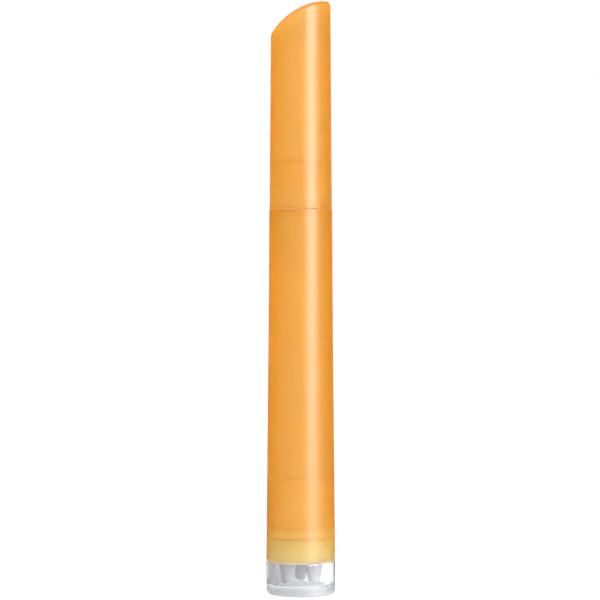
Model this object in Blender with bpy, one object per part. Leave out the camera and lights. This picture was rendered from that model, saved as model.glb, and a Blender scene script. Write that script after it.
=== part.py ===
"""Nail care stick: a felt-tip pen that puts oil on nails and cuticles.

The pen stands on its clear tail cap, with its axis on Z, its origin under the middle of
the base, and all sizes in metres. From the base up it holds the tail cap with the points
of three spare nibs, the holder that carries them, the barrel with the soaked fibre
reservoir, the nozzle with the working nib, and the pull-off cap with its sealing liner.
Every round piece is turned from an outline of corners; the cap's slanted crown is a skin
over rings whose height follows an arc.
"""
import math

import bmesh
import bpy
from mathutils import Vector

# Fineness of the round pieces
SHELL_SEGMENTS = 48
CORE_SEGMENTS = 32
NIB_SEGMENTS = 24
ARC_PIECE = 0.00025         # the reach of a rounding that each of its faces covers
ARC_STEPS_MOST = 4
CROWN_EDGE_STEPS = 4
CROWN_RINGS = 4
ROOF_RINGS = 2
DOME_STEPS = 3
MEETING_PASSES = 3
SMOOTH_ANGLE = math.radians(30)
WELD_DISTANCE = 0.000001
CUT_OVERRUN = 0.001

# Clearances shared by the whole pen
SEAT_GAP = 0.00015          # along the axis, where one piece seats on another
FIT_CLEARANCE = 0.0001      # around, where one round piece fits inside another
EDGE_BREAK = 0.00012        # rounding of small moulded edges

# Tail cap, the clear foot of the pen
TAIL_CAP_RADIUS = 0.00685
TAIL_CAP_HEIGHT = 0.0066
TAIL_CAP_FLOOR = 0.002
TAIL_CAP_FOOT_ROUND = 0.0008
TAIL_CAP_CAVITY_ROUND = 0.0006
SPIGOT_LENGTH = 0.0045
SPIGOT_WALL = 0.0009
SPIGOT_BEAD_HEIGHT = 0.00005
SPIGOT_BEAD_WIDTH = 0.0006
SPIGOT_BEAD_PLACE_SHARE = 0.75
FOOT_RECESS_RADIUS = 0.002
FOOT_RECESS_DEPTH = 0.0005
GATE_DOME_RADIUS = 0.0012
GATE_DOME_HEIGHT = 0.0007

# Barrel
BARREL_LENGTH = 0.07
BARREL_TAIL_RADIUS = 0.00688
BARREL_GRIP_RADIUS = 0.00637
BARREL_FRONT_RADIUS = 0.00629
BARREL_GRIP_LENGTH = 0.0165
BARREL_WALL = 0.00125
BARREL_TAIL_WALL = 0.00095
BARREL_TAIL_ROUND = 0.0003

# Nibs, the working one and the three spare ones
NIB_LENGTH = 0.02
NIB_RADIUS = 0.00175
NIB_TAPER_LENGTH = 0.0042
NIB_POINT_RADIUS = 0.00095
NIB_REAR_ROUND = 0.0003
NIB_CHISEL_ANGLE = math.radians(24)
SPARE_NIB_COUNT = 3
SPARE_NIB_FIRST_ANGLE = math.radians(90)
SPARE_NIB_SIDE_ROOM = 0.00032
SPARE_NIB_TIP_ROOM = 0.0002

# Holder of the spare nibs, a plug in the tail of the barrel
HOLDER_FLANGE_THICKNESS = 0.0018
HOLDER_END_WALL = 0.0009
HOLDER_END_ROUND = 0.0003

# Nozzle, which carries the working nib and closes the barrel
NOZZLE_SKIRT_LENGTH = 0.0105
NOZZLE_SKIRT_WALL = 0.0006
NOZZLE_WEB_DEPTH = 0.0014
NOZZLE_COLLAR_HEIGHT = 0.004
NOZZLE_SEAL_RADIUS = 0.0042
NOZZLE_SEAL_LENGTH = 0.0024
NOZZLE_CONE_LENGTH = 0.0044
NOZZLE_TIP_RADIUS = 0.0026
NOZZLE_CONE_ROUND = 0.0008

# Reservoir, a soaked fibre rod in its film
FIBRE_NIB_DIP = 0.003
FILM_WALL = 0.00012
FILM_CLEARANCE = 0.00005
FILM_SETBACK = 0.0004

# Cap
CAP_LENGTH = 0.0415
CAP_STEP = 0.00006
CAP_DRAFT = 0.0003
CAP_WALL = 0.00085
CAP_CROWN_WALL = 0.0011
CAP_EDGE_ROUND = 0.0014
CAP_SLANT_DROP = 0.00665
CAP_CROWN_CENTRE_SHARE = 1.25

# Liner, the sealing cup inside the cap
LINER_LEDGE_HEIGHT = 0.009
LINER_LEDGE_WIDTH = 0.0003
LINER_WALL = 0.0007
LINER_STEP = 0.0007
LINER_SEAL_MARGIN = 0.0016
LINER_END_ROUND = 0.0008
LINER_HEADROOM = 0.0004

# Colours as seen, in sRGB
ORANGE = (0.96, 0.67, 0.31)
CLEAR = (0.93, 0.95, 0.96)
WHITE = (0.94, 0.94, 0.92)
FELT = (0.93, 0.92, 0.90)
SOAKED_FIBRE = (0.95, 0.84, 0.62)
FILM = (0.90, 0.91, 0.91)


def barrel_radius(height):
    """Outer radius of the barrel: an even taper to the grip, then a slower one."""
    grip_start = BARREL_LENGTH - BARREL_GRIP_LENGTH
    if height < grip_start:
        share = height / grip_start
        return BARREL_TAIL_RADIUS + share * (BARREL_GRIP_RADIUS - BARREL_TAIL_RADIUS)
    share = (height - grip_start) / BARREL_GRIP_LENGTH
    return BARREL_GRIP_RADIUS + share * (BARREL_FRONT_RADIUS - BARREL_GRIP_RADIUS)


def barrel_bore(height):
    """Radius of the barrel's bore, one wall in from its outside."""
    return barrel_radius(height) - BARREL_WALL


def cap_radius(height):
    """Outer radius of the cap, which loses its draft evenly along its length."""
    return CAP_RIM_RADIUS - CAP_DRAFT * height / CAP_LENGTH


# Places along the axis, from the base up
SPIGOT_TOP = TAIL_CAP_HEIGHT + SPIGOT_LENGTH
BARREL_TAIL = TAIL_CAP_HEIGHT + SEAT_GAP
BARREL_FRONT = BARREL_TAIL + BARREL_LENGTH
SPARE_NIB_TIP = TAIL_CAP_FLOOR + SPARE_NIB_TIP_ROOM
SPARE_NIB_REAR = SPARE_NIB_TIP + NIB_LENGTH
HOLDER_BASE = SPIGOT_TOP + SEAT_GAP
HOLDER_SHOULDER = HOLDER_BASE + HOLDER_FLANGE_THICKNESS
HOLDER_TOP = SPARE_NIB_REAR + FIT_CLEARANCE + HOLDER_END_WALL
NOZZLE_SEAT = BARREL_FRONT + SEAT_GAP
FIBRE_BASE = HOLDER_TOP + SEAT_GAP
FIBRE_TOP = NOZZLE_SEAT - NOZZLE_WEB_DEPTH - SEAT_GAP
NIB_REAR = FIBRE_TOP - FIBRE_NIB_DIP + FIT_CLEARANCE
CAP_RIM = BARREL_FRONT + SEAT_GAP
LINER_LIP = CAP_RIM + NOZZLE_COLLAR_HEIGHT + SEAT_GAP

# Radii that follow from what a piece fits into or over
TAIL_BORE = BARREL_TAIL_RADIUS - BARREL_TAIL_WALL
SPIGOT_RADIUS = TAIL_BORE - FIT_CLEARANCE
CAVITY_RADIUS = SPIGOT_RADIUS - SPIGOT_WALL
SPARE_NIB_PITCH = CAVITY_RADIUS - SPARE_NIB_SIDE_ROOM - NIB_RADIUS
NIB_HOLE_RADIUS = NIB_RADIUS + FIT_CLEARANCE
HOLDER_RADIUS = barrel_bore(HOLDER_TOP - BARREL_TAIL) - FIT_CLEARANCE
SKIRT_RADIUS = barrel_bore(BARREL_LENGTH) - FIT_CLEARANCE
SKIRT_BORE = SKIRT_RADIUS - NOZZLE_SKIRT_WALL
FILM_RADIUS = SKIRT_BORE - FIT_CLEARANCE
FIBRE_RADIUS = FILM_RADIUS - FILM_WALL - FILM_CLEARANCE
CAP_RIM_RADIUS = BARREL_FRONT_RADIUS - CAP_STEP
COLLAR_RADIUS = cap_radius(NOZZLE_COLLAR_HEIGHT) - CAP_WALL - FIT_CLEARANCE
LINER_SEAL_BORE = NOZZLE_SEAL_RADIUS + FIT_CLEARANCE
LINER_CUP_BORE = LINER_SEAL_BORE - LINER_STEP
LINER_CUP_RADIUS = LINER_CUP_BORE + LINER_WALL


def clear_scene():
    """Removes whatever the open file holds."""
    for thing in list(bpy.data.objects):
        bpy.data.objects.remove(thing, do_unlink=True)


def linear(channel):
    """One sRGB colour channel as linear light."""
    if channel <= 0.04045:
        return channel / 12.92
    return ((channel + 0.055) / 1.055) ** 2.4


def plastic(name, colour, roughness, transmission=0.0):
    """A plain, non-metallic material; transmission lets light through clear plastic."""
    material = bpy.data.materials.new(name)
    material.use_nodes = True
    shader = material.node_tree.nodes["Principled BSDF"]
    shader.inputs["Base Color"].default_value = [linear(channel) for channel in colour] + [1.0]
    shader.inputs["Roughness"].default_value = roughness
    shader.inputs["Metallic"].default_value = 0.0
    shader.inputs["Transmission Weight"].default_value = transmission
    material.diffuse_color = [*colour, 1.0]
    return material


def new_object(name, bm, material):
    """Turns a finished bmesh into a smooth-shaded object with its faces pointing out."""
    bmesh.ops.recalc_face_normals(bm, faces=bm.faces)
    mesh = bpy.data.meshes.new(name)
    bm.to_mesh(mesh)
    bm.free()
    mesh.shade_smooth()
    mesh.set_sharp_from_angle(angle=SMOOTH_ANGLE)
    mesh.materials.append(material)
    piece = bpy.data.objects.new(name, mesh)
    bpy.context.scene.collection.objects.link(piece)
    return piece


def rounded(corners):
    """Outline points for corners of (radius, height, rounding).

    A rounded corner becomes an arc tangent to its two sides, one chamfer face where it
    is small. The arc takes at most half of the shorter side, so that neighbouring arcs
    never cross.
    """
    points = []
    for index, (radius, height, rounding) in enumerate(corners):
        here = Vector((radius, height))
        if rounding == 0:
            points.append(here)
            continue
        before = Vector(corners[index - 1][:2]) - here
        after = Vector(corners[(index + 1) % len(corners)][:2]) - here
        half_turn = (math.pi - before.angle(after)) / 2
        reach = min(rounding * math.tan(half_turn), before.length / 2, after.length / 2)
        start = here + before.normalized() * reach
        end = here + after.normalized() * reach
        weight = math.cos(half_turn)
        steps = min(ARC_STEPS_MOST, math.ceil(reach / ARC_PIECE))
        for step in range(steps + 1):
            share = step / steps
            keep, pull, give = (1 - share) ** 2, 2 * weight * share * (1 - share), share ** 2
            points.append((keep * start + pull * here + give * end) / (keep + pull + give))
    return points


def turned(name, corners, segments, material):
    """A body of revolution: the rounded outline, closed, spun once round the Z axis."""
    bm = bmesh.new()
    outline = [bm.verts.new((point.x, 0.0, point.y)) for point in rounded(corners)]
    edges = [bm.edges.new((outline[index - 1], outline[index])) for index in range(len(outline))
             if outline[index - 1].co.x > 0 or outline[index].co.x > 0]
    bmesh.ops.spin(bm, geom=outline + edges, axis=(0, 0, 1), cent=(0, 0, 0),
                   angle=math.tau, steps=segments, use_merge=True)
    bmesh.ops.remove_doubles(bm, verts=bm.verts, dist=WELD_DISTANCE)
    return new_object(name, bm, material)


def skin(name, rings, material):
    """A closed body over a list of rings, each a list of points that start at +X.

    The first and the last ring are poles of one point each, and each ring is joined to
    the next by a band of faces.
    """
    bm = bmesh.new()
    loops = [[bm.verts.new(point) for point in ring] for ring in rings]
    for lower, upper in zip(loops, loops[1:]):
        count = max(len(lower), len(upper))
        for index in range(count):
            after = (index + 1) % count
            corners = [lower[index % len(lower)], lower[after % len(lower)],
                       upper[after % len(upper)], upper[index % len(upper)]]
            bm.faces.new(list(dict.fromkeys(corners)))
    return new_object(name, bm, material)


def make_tail_cap(material):
    """The clear foot: a thick cup with a recessed base and a spigot for the barrel."""
    bead_height = TAIL_CAP_HEIGHT + SPIGOT_LENGTH * SPIGOT_BEAD_PLACE_SHARE
    bead_half = SPIGOT_BEAD_WIDTH / 2
    corners = [
        (0, FOOT_RECESS_DEPTH, 0),
        (FOOT_RECESS_RADIUS - EDGE_BREAK, FOOT_RECESS_DEPTH, EDGE_BREAK),
        (FOOT_RECESS_RADIUS, 0, EDGE_BREAK),
        (TAIL_CAP_RADIUS, 0, TAIL_CAP_FOOT_ROUND),
        (TAIL_CAP_RADIUS, TAIL_CAP_HEIGHT, EDGE_BREAK),
        (SPIGOT_RADIUS, TAIL_CAP_HEIGHT, 0),
        (SPIGOT_RADIUS, bead_height - bead_half, 0),
        (SPIGOT_RADIUS + SPIGOT_BEAD_HEIGHT, bead_height, 0),
        (SPIGOT_RADIUS, bead_height + bead_half, 0),
        (SPIGOT_RADIUS, SPIGOT_TOP, EDGE_BREAK),
        (CAVITY_RADIUS, SPIGOT_TOP, EDGE_BREAK),
        (CAVITY_RADIUS, TAIL_CAP_FLOOR, TAIL_CAP_CAVITY_ROUND),
    ]
    for step in range(DOME_STEPS + 1):
        turn = math.pi / 2 * step / DOME_STEPS
        dome_radius = 0 if step == DOME_STEPS else GATE_DOME_RADIUS * math.cos(turn)
        corners.append((dome_radius, TAIL_CAP_FLOOR + GATE_DOME_HEIGHT * math.sin(turn), 0))
    return turned("tail_cap", corners, SHELL_SEGMENTS, material)


def make_barrel(material):
    """The tapered tube, with a wider bore in its tail for the spigot and the holder."""
    grip_start = BARREL_LENGTH - BARREL_GRIP_LENGTH
    shoulder = HOLDER_SHOULDER + SEAT_GAP - BARREL_TAIL
    corners = [
        (TAIL_BORE, 0, EDGE_BREAK),
        (BARREL_TAIL_RADIUS, 0, BARREL_TAIL_ROUND),
        (BARREL_GRIP_RADIUS, grip_start, 0),
        (BARREL_FRONT_RADIUS, BARREL_LENGTH, EDGE_BREAK),
        (barrel_bore(BARREL_LENGTH), BARREL_LENGTH, EDGE_BREAK),
        (barrel_bore(grip_start), grip_start, 0),
        (barrel_bore(shoulder), shoulder, EDGE_BREAK),
        (TAIL_BORE, shoulder, 0),
    ]
    barrel = turned("barrel", corners, SHELL_SEGMENTS, material)
    barrel.location.z = BARREL_TAIL
    return barrel


def make_nib(material):
    """The working nib, its rear end dipped into the fibre, its chisel longest at +X."""
    point_height = NIB_LENGTH - NIB_TAPER_LENGTH
    corners = [
        (0, 0, 0),
        (NIB_RADIUS, 0, NIB_REAR_ROUND),
        (NIB_RADIUS, point_height, NIB_REAR_ROUND),
        (NIB_POINT_RADIUS, NIB_LENGTH, 0),
        (0, NIB_LENGTH, 0),
    ]
    nib = turned("nib", corners, NIB_SEGMENTS, material)
    bm = bmesh.new()
    bm.from_mesh(nib.data)
    cut = bmesh.ops.bisect_plane(
        bm, geom=bm.verts[:] + bm.edges[:] + bm.faces[:], dist=WELD_DISTANCE,
        plane_co=(NIB_POINT_RADIUS, 0, NIB_LENGTH),
        plane_no=(-math.sin(NIB_CHISEL_ANGLE), 0, math.cos(NIB_CHISEL_ANGLE)),
        clear_outer=True)
    rim = [part for part in cut["geom_cut"] if isinstance(part, bmesh.types.BMEdge)]
    bmesh.ops.edgeloop_fill(bm, edges=rim)
    bmesh.ops.recalc_face_normals(bm, faces=bm.faces)
    bm.to_mesh(nib.data)
    bm.free()
    nib.data.set_sharp_from_angle(angle=SMOOTH_ANGLE)
    nib.location.z = NIB_REAR
    return nib


def spare_nib_angles():
    """Directions of the spare nibs round the axis, evenly spread from the first one."""
    return [SPARE_NIB_FIRST_ANGLE + math.tau * index / SPARE_NIB_COUNT
            for index in range(SPARE_NIB_COUNT)]


def make_spare_nib(number, angle, mesh, material):
    """A copy of the nib, point down, with the long side of its chisel facing outwards."""
    spare = bpy.data.objects.new(f"spare_nib_{number}", mesh.copy())
    spare.data.materials[0] = material
    bpy.context.scene.collection.objects.link(spare)
    spare.location = (SPARE_NIB_PITCH * math.cos(angle), SPARE_NIB_PITCH * math.sin(angle),
                      SPARE_NIB_REAR)
    spare.rotation_euler = (0, math.pi, angle + math.pi)
    return spare


def make_holder(material):
    """The plug in the barrel's tail, with one blind socket for each spare nib."""
    height = HOLDER_TOP - HOLDER_BASE
    flange_radius = TAIL_BORE - FIT_CLEARANCE
    corners = [
        (0, 0, 0),
        (flange_radius, 0, EDGE_BREAK),
        (flange_radius, HOLDER_FLANGE_THICKNESS, EDGE_BREAK),
        (HOLDER_RADIUS, HOLDER_FLANGE_THICKNESS, 0),
        (HOLDER_RADIUS, height, HOLDER_END_ROUND),
        (0, height, 0),
    ]
    holder = turned("spare_nib_holder", corners, SHELL_SEGMENTS, material)
    holder.location.z = HOLDER_BASE
    depth = SPARE_NIB_REAR + FIT_CLEARANCE - HOLDER_BASE
    for number, angle in enumerate(spare_nib_angles(), start=1):
        socket = [(0, -CUT_OVERRUN, 0), (NIB_HOLE_RADIUS, -CUT_OVERRUN, 0),
                  (NIB_HOLE_RADIUS, depth, 0), (0, depth, 0)]
        cutter = turned(f"socket_cutter_{number}", socket, NIB_SEGMENTS, material)
        cutter.location = (SPARE_NIB_PITCH * math.cos(angle), SPARE_NIB_PITCH * math.sin(angle),
                           HOLDER_BASE)
        cutter.hide_render = True
        cutter.display_type = "WIRE"
        cut = holder.modifiers.new(f"socket_{number}", "BOOLEAN")
        cut.operation = "DIFFERENCE"
        cut.object = cutter
    return holder


def make_nozzle(material):
    """The front plug: skirt, web, snap collar, sealing band and a cone round the nib."""
    seal_top = NOZZLE_COLLAR_HEIGHT + NOZZLE_SEAL_LENGTH
    tip = seal_top + NOZZLE_CONE_LENGTH
    corners = [
        (SKIRT_BORE, -NOZZLE_SKIRT_LENGTH, EDGE_BREAK),
        (SKIRT_RADIUS, -NOZZLE_SKIRT_LENGTH, EDGE_BREAK),
        (SKIRT_RADIUS, 0, 0),
        (COLLAR_RADIUS, 0, EDGE_BREAK),
        (COLLAR_RADIUS, NOZZLE_COLLAR_HEIGHT, EDGE_BREAK),
        (NOZZLE_SEAL_RADIUS, NOZZLE_COLLAR_HEIGHT, 0),
        (NOZZLE_SEAL_RADIUS, seal_top, NOZZLE_CONE_ROUND),
        (NOZZLE_TIP_RADIUS, tip, EDGE_BREAK),
        (NIB_HOLE_RADIUS, tip, EDGE_BREAK),
        (NIB_HOLE_RADIUS, -NOZZLE_WEB_DEPTH, EDGE_BREAK),
        (SKIRT_BORE, -NOZZLE_WEB_DEPTH, 0),
    ]
    nozzle = turned("nozzle", corners, SHELL_SEGMENTS, material)
    nozzle.location.z = NOZZLE_SEAT
    return nozzle


def make_reservoir_fibre(material):
    """The soaked fibre rod, with a blind hole in its top that takes the nib."""
    length = FIBRE_TOP - FIBRE_BASE
    corners = [
        (0, 0, 0),
        (FIBRE_RADIUS, 0, EDGE_BREAK),
        (FIBRE_RADIUS, length, EDGE_BREAK),
        (NIB_HOLE_RADIUS, length, 0),
        (NIB_HOLE_RADIUS, length - FIBRE_NIB_DIP, 0),
        (0, length - FIBRE_NIB_DIP, 0),
    ]
    fibre = turned("reservoir_fibre", corners, CORE_SEGMENTS, material)
    fibre.location.z = FIBRE_BASE
    return fibre


def make_reservoir_film(material):
    """The thin film sleeve round the fibre, a little shorter than it at both ends."""
    length = FIBRE_TOP - FIBRE_BASE - FILM_SETBACK * 2
    bore = FILM_RADIUS - FILM_WALL
    corners = [(bore, 0, 0), (FILM_RADIUS, 0, 0), (FILM_RADIUS, length, 0), (bore, length, 0)]
    film = turned("reservoir_film", corners, CORE_SEGMENTS, material)
    film.location.z = FIBRE_BASE + FILM_SETBACK
    return film


def slant_arc(inset):
    """Centre and radius of the crown's arc in the XZ plane of the cap, drawn in by inset.

    The arc is level over a point beyond the high side and falls by the slant's drop on
    its way to the low side, which fixes its radius by the rule for a chord's rise.
    """
    top_radius = CAP_RIM_RADIUS - CAP_DRAFT
    centre_x = top_radius * CAP_CROWN_CENTRE_SHARE
    run = centre_x + top_radius
    radius = (run ** 2 + CAP_SLANT_DROP ** 2) / (2 * CAP_SLANT_DROP)
    return centre_x, CAP_LENGTH - radius, radius - inset


def slant_height(x, inset):
    """Height of the crown's arc over x."""
    centre_x, centre_z, radius = slant_arc(inset)
    return centre_z + math.sqrt(radius ** 2 - (x - centre_x) ** 2)


def slant_slope(x, inset):
    """Rise of the crown's arc for each step along X, over x."""
    centre_x, _, radius = slant_arc(inset)
    return (centre_x - x) / math.sqrt(radius ** 2 - (x - centre_x) ** 2)


def side_meets_slant(angle, wall, inset):
    """Radius and height where the cap's side, one wall in, runs into the slanted arc."""
    height = CAP_LENGTH
    for _ in range(MEETING_PASSES):
        radius = cap_radius(height) - wall
        height = slant_height(radius * math.cos(angle), inset)
    return cap_radius(height) - wall, height


def spoke(angle, radius, height):
    """A point at a direction round the axis, a radius from it and a height."""
    return Vector((radius * math.cos(angle), radius * math.sin(angle), height))


def crown_edge(angle):
    """Points over the rounded edge between side and crown, in the plane of one direction.

    The rounding reaches along both lines by its radius times the tangent of half the
    turn between them, so it is wide on the high side and fades out on the low side.
    """
    radius, height = side_meets_slant(angle, 0, 0)
    rise = slant_slope(radius * math.cos(angle), 0) * math.cos(angle)
    half_turn = (math.pi / 2 + math.atan(rise)) / 2
    reach = CAP_EDGE_ROUND * math.tan(half_turn)
    corner = Vector((radius, height))
    start = Vector((cap_radius(height - reach), height - reach))
    inner_radius = radius - reach * math.cos(math.atan(rise))
    end = Vector((inner_radius, slant_height(inner_radius * math.cos(angle), 0)))
    points = []
    for step in range(CROWN_EDGE_STEPS + 1):
        share = step / CROWN_EDGE_STEPS
        keep, pull, give = (1 - share) ** 2, 2 * share * (1 - share), share ** 2
        points.append(keep * start + pull * corner + give * end)
    return points


def crown_ring(angles, radii, inset):
    """A ring that lies on the crown's arc, with its own radius in each direction."""
    return [spoke(angle, radius, slant_height(radius * math.cos(angle), inset))
            for angle, radius in zip(angles, radii)]


def cap_rim_outline(upper_wall):
    """Points from the liner's ledge down the bore, round the rim and on to the outside."""
    ledge = LINER_LEDGE_HEIGHT
    outline = rounded([
        (cap_radius(ledge) - upper_wall, ledge, 0),
        (cap_radius(ledge) - CAP_WALL, ledge, 0),
        (CAP_RIM_RADIUS - CAP_WALL, 0, EDGE_BREAK),
        (CAP_RIM_RADIUS, 0, EDGE_BREAK),
        (cap_radius(ledge), ledge, 0),
    ])
    return outline[:-1]


def make_cap_shell(material):
    """The cap: a tapered tube closed by a slanted crown, with a ledge inside for the liner.

    Its rings run from the middle of the inner roof out and down the bore, round the rim,
    up the outside, over the crown's edge and in to the middle of the crown.
    """
    angles = [math.tau * index / SHELL_SEGMENTS for index in range(SHELL_SEGMENTS)]
    upper_wall = CAP_WALL + LINER_LEDGE_WIDTH
    roof_radii = [side_meets_slant(angle, upper_wall, CAP_CROWN_WALL)[0] for angle in angles]
    rings = [[Vector((0, 0, slant_height(0, CAP_CROWN_WALL)))]]
    for ring in range(1, ROOF_RINGS + 1):
        share = ring / ROOF_RINGS
        rings.append(crown_ring(angles, [radius * share for radius in roof_radii],
                                CAP_CROWN_WALL))
    for point in cap_rim_outline(upper_wall):
        rings.append([spoke(angle, *point) for angle in angles])
    edges = [crown_edge(angle) for angle in angles]
    for step in range(CROWN_EDGE_STEPS + 1):
        rings.append([spoke(angle, *edge[step]) for angle, edge in zip(angles, edges)])
    for ring in range(1, CROWN_RINGS):
        share = 1 - ring / CROWN_RINGS
        rings.append(crown_ring(angles, [edge[-1].x * share for edge in edges], 0))
    rings.append([Vector((0, 0, slant_height(0, 0)))])
    shell = skin("cap_shell", rings, material)
    shell.location.z = CAP_RIM
    return shell


def make_cap_liner(material):
    """The sealing cup: a band that fits the cap's bore and a narrower cup over the nib."""
    base = LINER_LIP - CAP_RIM
    band_top = LINER_LEDGE_HEIGHT - SEAT_GAP - base
    band_radius = cap_radius(LINER_LEDGE_HEIGHT) - CAP_WALL - FIT_CLEARANCE
    roof = slant_height(-LINER_CUP_RADIUS, CAP_CROWN_WALL) - LINER_HEADROOM - base
    seal_top = NOZZLE_SEAL_LENGTH + LINER_SEAL_MARGIN
    corners = [
        (LINER_SEAL_BORE, 0, EDGE_BREAK),
        (band_radius, 0, EDGE_BREAK),
        (band_radius, band_top, EDGE_BREAK),
        (LINER_CUP_RADIUS, band_top, EDGE_BREAK),
        (LINER_CUP_RADIUS, roof, LINER_END_ROUND),
        (0, roof, 0),
        (0, roof - LINER_WALL, 0),
        (LINER_CUP_BORE, roof - LINER_WALL, LINER_END_ROUND),
        (LINER_CUP_BORE, seal_top + LINER_STEP, 0),
        (LINER_SEAL_BORE, seal_top, 0),
    ]
    liner = turned("cap_liner", corners, SHELL_SEGMENTS, material)
    liner.location.z = LINER_LIP
    return liner


def slide_empty(name, height):
    """An empty on the pen's axis that carries one body which slides along it."""
    empty = bpy.data.objects.new(name, None)
    empty.empty_display_size = TAIL_CAP_RADIUS
    empty.location.z = height
    bpy.context.scene.collection.objects.link(empty)
    return empty


def carry(parent, pieces):
    """Parents pieces to an empty and keeps them where they are."""
    for piece in pieces:
        piece.parent = parent
        piece.location = Vector(piece.location) - Vector(parent.location)


def main():
    clear_scene()
    tail_cap = make_tail_cap(plastic("clear_plastic", CLEAR, 0.08, 0.9))
    make_barrel(plastic("frosted_barrel", ORANGE, 0.4))
    nib = make_nib(plastic("felt", FELT, 0.9))
    for number, angle in enumerate(spare_nib_angles(), start=1):
        make_spare_nib(number, angle, nib.data, plastic(f"spare_felt_{number}", FELT, 0.9))
    make_holder(plastic("holder_plastic", WHITE, 0.45))
    make_nozzle(plastic("nozzle_plastic", WHITE, 0.4))
    make_reservoir_fibre(plastic("soaked_fibre", SOAKED_FIBRE, 0.8))
    make_reservoir_film(plastic("film", FILM, 0.25))
    cap_shell = make_cap_shell(plastic("frosted_cap", ORANGE, 0.4))
    cap_liner = make_cap_liner(plastic("liner_plastic", WHITE, 0.4))
    carry(slide_empty("cap_slide", CAP_RIM), [cap_shell, cap_liner])
    carry(slide_empty("nib_slide", NIB_REAR), [nib])
    carry(slide_empty("tail_cap_slide", TAIL_CAP_HEIGHT), [tail_cap])


main()
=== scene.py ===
# %% [markdown]
# # A nail care stick, dressed for the camera
#
# The pen is a felt-tip pen for nail oil. From the base up it has a clear tail cap with three
# spare felt nibs in it, a frosted orange barrel round a soaked fibre, a nozzle with the working
# nib, and a frosted orange cap with a slanted crown.
#
# Its exact solids come from CAD and stay as they are. Every surface that the camera sees is
# made here again, finer and with soft edges, and gets a finish of its own. Sizes below are in
# millimetres, because that is how a mould maker gives them, and turn into metres last of all.
#
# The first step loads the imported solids, so that each new piece can be set against its own.

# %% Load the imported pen
import math

import bpy
import numpy as np
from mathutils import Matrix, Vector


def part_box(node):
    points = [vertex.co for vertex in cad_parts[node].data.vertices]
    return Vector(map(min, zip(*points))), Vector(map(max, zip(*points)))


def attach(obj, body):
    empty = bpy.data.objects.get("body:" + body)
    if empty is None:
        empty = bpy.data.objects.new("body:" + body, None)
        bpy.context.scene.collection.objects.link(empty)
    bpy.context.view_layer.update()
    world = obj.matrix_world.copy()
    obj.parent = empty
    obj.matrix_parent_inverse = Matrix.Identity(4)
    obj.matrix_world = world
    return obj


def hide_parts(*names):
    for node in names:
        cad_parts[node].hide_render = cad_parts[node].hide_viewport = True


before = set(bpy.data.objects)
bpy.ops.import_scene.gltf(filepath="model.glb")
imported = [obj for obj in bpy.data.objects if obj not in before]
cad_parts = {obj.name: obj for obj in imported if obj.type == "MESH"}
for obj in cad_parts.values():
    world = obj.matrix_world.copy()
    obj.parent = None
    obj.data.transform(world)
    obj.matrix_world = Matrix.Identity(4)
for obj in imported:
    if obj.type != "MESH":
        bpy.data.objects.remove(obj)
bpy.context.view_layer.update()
MM = 0.001

# %% [markdown]
# ## The camera
#
# The photograph looks level at the pen from a short distance: the rims near the base sag
# towards the viewer and the one at the cap's seam is almost straight, so the lens stood at
# about half the pen's height. A long lens with no shift gives the same picture. A constraint
# could aim the camera too, but plain numbers are easier to read.

# %% Set the camera
CAMERA_PLACE = (-0.00015, -0.453, 0.0587)
CAMERA_LENS = 135.9
NEAREST_SEEN = 0.01

camera = bpy.data.objects.new("camera", bpy.data.cameras.new("camera"))
camera.data.lens = CAMERA_LENS
camera.data.clip_start = NEAREST_SEEN
camera.location = CAMERA_PLACE
camera.rotation_euler = (math.pi / 2, 0, 0)
bpy.context.scene.collection.objects.link(camera)
bpy.context.scene.camera = camera
bpy.context.scene.view_settings.view_transform = "Standard"
print("lens", CAMERA_LENS, "mm at a height of", CAMERA_PLACE[2], "m")

# %% [markdown]
# ## Shader maths as plain arithmetic
#
# A material is a tree of nodes. Wiring them by hand takes five lines for a simple sum, so one
# small class holds a socket and lets Python's own signs add the Math nodes. With it, a mask
# can be written as `1 - frost * 0.3`: the reflected forms, such as __rsub__, take the number
# on the left. One more method adds any other node.

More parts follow.
